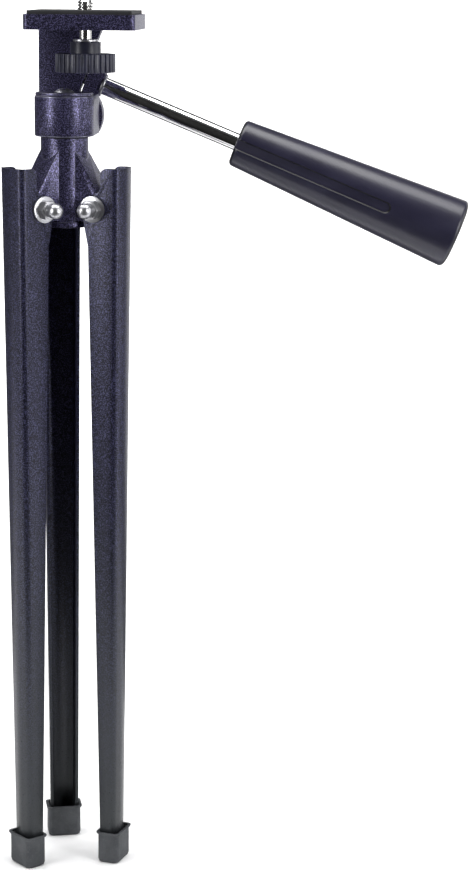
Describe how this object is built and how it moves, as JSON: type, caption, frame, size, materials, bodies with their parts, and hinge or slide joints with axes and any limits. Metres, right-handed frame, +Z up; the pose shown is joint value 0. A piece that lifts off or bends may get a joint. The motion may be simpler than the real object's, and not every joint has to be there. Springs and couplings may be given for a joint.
{
  "type": "table-top tripod",
  "caption": "Folding table-top tripod with pressed steel channel legs on cap-nutted hinges, a pan and tilt head, a camera screw with thumb wheel, and a locking pan handle.",
  "frame": {"origin": "on the pan axis, at the surface the feet stand on", "axes": "+Z up along the pan axis, +X the way the handle points, +Y backwards along the tilt axis, away from the viewer's side"},
  "size_m": [0.1887, 0.0623, 0.3593],
  "materials": {
    "casting": "speckled blue-black wrinkle enamel",
    "leg_enamel": "speckled charcoal enamel",
    "bright_steel": "bright nickel plate",
    "screw_steel": "plated thread",
    "foot_rubber": "matt rubber",
    "pad_rubber": "ribbed matt rubber",
    "fibre": "matt fibre",
    "wheel_plastic": "satin moulded plastic",
    "grip_plastic": "semi-gloss moulded plastic"
  },
  "bodies": {
    "base": {"spider_hub": "casting", "pan_fibre_washer": "fibre", "pan_top_disc": "casting", "pan_bolt": "bright_steel", "hinge_stud_rear": "bright_steel", "hinge_stud_left": "bright_steel", "hinge_stud_right": "bright_steel", "hinge_washers_rear": "bright_steel", "hinge_washers_left": "bright_steel", "hinge_washers_right": "bright_steel", "cap_nuts_rear": "bright_steel", "cap_nuts_left": "bright_steel", "cap_nuts_right": "bright_steel"},
    "pan_head": {"pan_collar": "casting", "tilt_axle": "bright_steel", "tilt_washer": "bright_steel", "tilt_screw": "bright_steel"},
    "platform": {"tilt_bracket": "casting", "platform_pad": "pad_rubber"},
    "screw_carrier": {"screw_washer": "bright_steel"},
    "camera_screw": {"camera_stud": "screw_steel", "thumb_wheel": "wheel_plastic"},
    "handle": {"handle_rod": "bright_steel", "rod_ring": "bright_steel", "handle_grip": "grip_plastic", "grip_end_cap": "grip_plastic"},
    "rear_leg": {"leg_rear": "leg_enamel", "foot_rear": "foot_rubber"},
    "left_leg": {"leg_left": "leg_enamel", "foot_left": "foot_rubber"},
    "right_leg": {"leg_right": "leg_enamel", "foot_right": "foot_rubber"}
  },
  "joints": [
    {"name": "pan", "type": "hinge", "parent": "base", "child": "pan_head", "pos_m": [0, 0, 0.3136], "axis": [0, 0, 1], "continuous": true},
    {"name": "tilt", "type": "hinge", "parent": "pan_head", "child": "platform", "pos_m": [0, 0.023, 0.3128], "axis": [0, -1, 0], "range_deg": [-30, 90]},
    {"name": "handle_twist", "type": "hinge", "parent": "platform", "child": "handle", "pos_m": [0.00599, 0.023, 0.32764], "axis": [0.9272, 0, -0.3746], "range_deg": [0, 360]},
    {"name": "screw_float", "type": "slide", "parent": "platform", "child": "screw_carrier", "axis": [0, 0, 1], "range_m": [0, 0.0037]},
    {"name": "screw_spin", "type": "hinge", "parent": "screw_carrier", "child": "camera_screw", "pos_m": [0.008, 0.0045, 0.3538], "axis": [0, 0, 1], "continuous": true},
    {"name": "rear_leg_hinge", "type": "hinge", "parent": "base", "child": "rear_leg", "pos_m": [-0.00349, 0.0151, 0.2774], "axis": [0.9744, 0.225, 0], "range_deg": [0, 35]},
    {"name": "left_leg_hinge", "type": "hinge", "parent": "base", "child": "left_leg", "pos_m": [-0.01134, -0.01057, 0.2774], "axis": [-0.682, 0.7314, 0], "range_deg": [0, 35]},
    {"name": "right_leg_hinge", "type": "hinge", "parent": "base", "child": "right_leg", "pos_m": [0.01482, -0.00453, 0.2774], "axis": [-0.2924, -0.9563, 0], "range_deg": [0, 35]}
  ]
}
